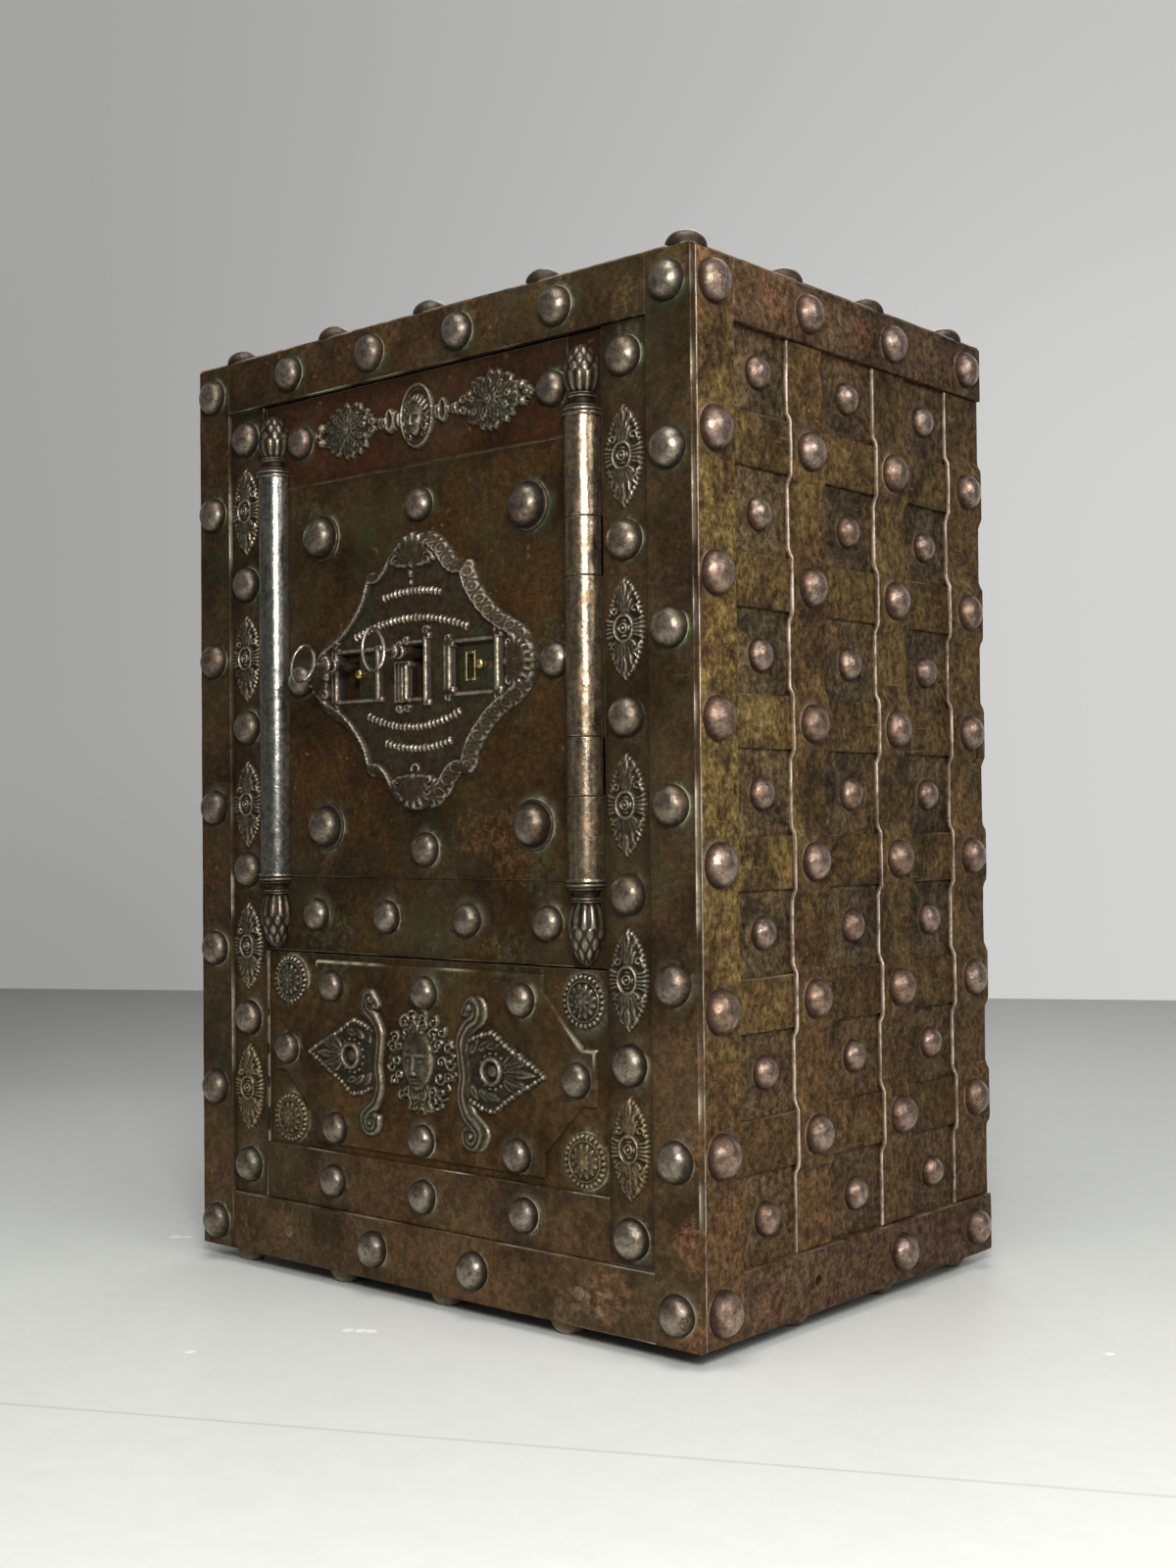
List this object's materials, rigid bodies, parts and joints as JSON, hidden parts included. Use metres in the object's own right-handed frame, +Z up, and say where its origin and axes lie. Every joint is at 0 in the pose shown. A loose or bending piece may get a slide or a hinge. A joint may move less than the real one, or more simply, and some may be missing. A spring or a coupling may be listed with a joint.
{
  "type": "iron strongbox",
  "caption": "Upright iron-bound strongbox with studded straps woven over its sides, a door hung on a column-shaped barrel hinge, and bolts thrown by keys.",
  "frame": {"origin": "on the floor, under the middle of the body, at the flat end of the centre foot", "axes": "+Z up, the front with the door faces -Y, +X to the right as seen from the front"},
  "size_m": [0.677, 0.566, 0.9317],
  "materials": {
    "front_iron": "dark brown patina with worn bright edges",
    "red_iron": "reddish brown patina",
    "side_iron": "mottled ochre and brown patina with burnished studs",
    "inner_iron": "dark forge scale",
    "cast_ornament": "worn grey casting, dark in its hollows",
    "column_steel": "polished by hand, with green edges",
    "hinge_steel": "polished, with a coppery tone",
    "key_steel": "worn bright steel",
    "shutter_bronze": "green patina with polished brass knobs",
    "oak": "old oiled oak"
  },
  "bodies": {
    "root": {"bottom_plate": "inner_iron", "top_plate": "front_iron", "back_plate": "front_iron", "left_side_plate": "side_iron", "left_woven_strap_1": "side_iron", "left_woven_strap_2": "side_iron", "left_woven_strap_3": "side_iron", "front_left_stile": "front_iron", "inner_left_stile": "front_iron", "lower_left_scroll": "cast_ornament", "oak_left": "oak", "right_side_plate": "side_iron", "right_woven_strap_1": "side_iron", "right_woven_strap_2": "side_iron", "right_woven_strap_3": "side_iron", "front_right_stile": "front_iron", "inner_right_stile": "front_iron", "lower_right_scroll": "cast_ornament", "oak_right": "oak", "front_top_rail": "front_iron", "front_bottom_rail": "front_iron", "lower_panel": "front_iron", "lower_band": "front_iron", "lower_raised_plate": "red_iron", "lower_mask_ornament": "cast_ornament", "oak_top": "oak", "oak_bottom": "oak", "oak_back": "oak", "oak_front_lower": "oak", "compartment_floor": "oak", "lid_hinge_pin": "key_steel", "shelf": "oak", "hinge_knuckle_lower": "hinge_steel", "hinge_knuckle_upper": "hinge_steel", "hinge_pin": "key_steel"},
    "door": {"door_core": "oak", "door_header_plate": "red_iron", "door_centre_plate": "front_iron", "door_foot_plate": "front_iron", "door_back_plate": "inner_iron", "header_left_rosette": "cast_ornament", "header_right_rosette": "cast_ornament", "header_medallion": "cast_ornament", "lock_cartouche": "cast_ornament", "left_column": "column_steel", "right_column_lower": "hinge_steel", "right_column_middle": "hinge_steel", "right_column_upper": "hinge_steel", "lock_case": "inner_iron", "lock_cover": "inner_iron"},
    "well_lid": {"well_lid": "oak"},
    "lid_ring": {"lid_ring": "key_steel"},
    "left_shutter": {"left_shutter": "shutter_bronze"},
    "right_shutter": {"right_shutter": "shutter_bronze"},
    "centre_key": {"centre_key": "key_steel"},
    "left_key": {"left_key": "key_steel"},
    "main_bolt": {"main_bolt": "key_steel"},
    "left_bolt": {"left_bolt": "key_steel"},
    "right_bolt": {"right_bolt": "key_steel"}
  },
  "joints": [
    {"name": "door_swing", "type": "hinge", "parent": "root", "child": "door", "pos_m": [0.2043, -0.2355, 0.59], "axis": [0, 0, 1], "range_deg": [0, 110]},
    {"name": "main_bolt_throw", "type": "slide", "parent": "door", "child": "main_bolt", "axis": [-1, 0, 0], "range_m": [0, 0.025]},
    {"name": "left_bolt_throw", "type": "slide", "parent": "door", "child": "left_bolt", "axis": [-1, 0, 0], "range_m": [0, 0.025]},
    {"name": "right_bolt_throw", "type": "slide", "parent": "door", "child": "right_bolt", "axis": [1, 0, 0], "range_m": [0, 0.025]},
    {"name": "centre_key_turn", "type": "hinge", "parent": "door", "child": "centre_key", "pos_m": [0.004, -0.25, 0.6005], "axis": [0, -1, 0], "range_deg": [0, 360]},
    {"name": "left_key_turn", "type": "hinge", "parent": "door", "child": "left_key", "pos_m": [-0.088, -0.25, 0.5935], "axis": [0, -1, 0], "range_deg": [0, 360]},
    {"name": "left_shutter_slide", "type": "slide", "parent": "door", "child": "left_shutter", "axis": [1, 0, 0], "range_m": [0, 0.008]},
    {"name": "right_shutter_slide", "type": "slide", "parent": "door", "child": "right_shutter", "axis": [1, 0, 0], "range_m": [-0.008, 0]},
    {"name": "well_lid_lift", "type": "hinge", "parent": "root", "child": "well_lid", "pos_m": [0, 0.125, 0.3185], "axis": [-1, 0, 0], "range_deg": [0, 85]},
    {"name": "lid_ring_lift", "type": "hinge", "parent": "well_lid", "child": "lid_ring", "pos_m": [0, -0.0415, 0.3153], "axis": [-1, 0, 0], "range_deg": [0, 90]}
  ],
  "couplings": [
    {"joint": "centre_key_turn", "follows": "main_bolt_throw", "rad_per_m": 251.32},
    {"joint": "left_key_turn", "follows": "left_bolt_throw", "rad_per_m": 251.32}
  ]
}
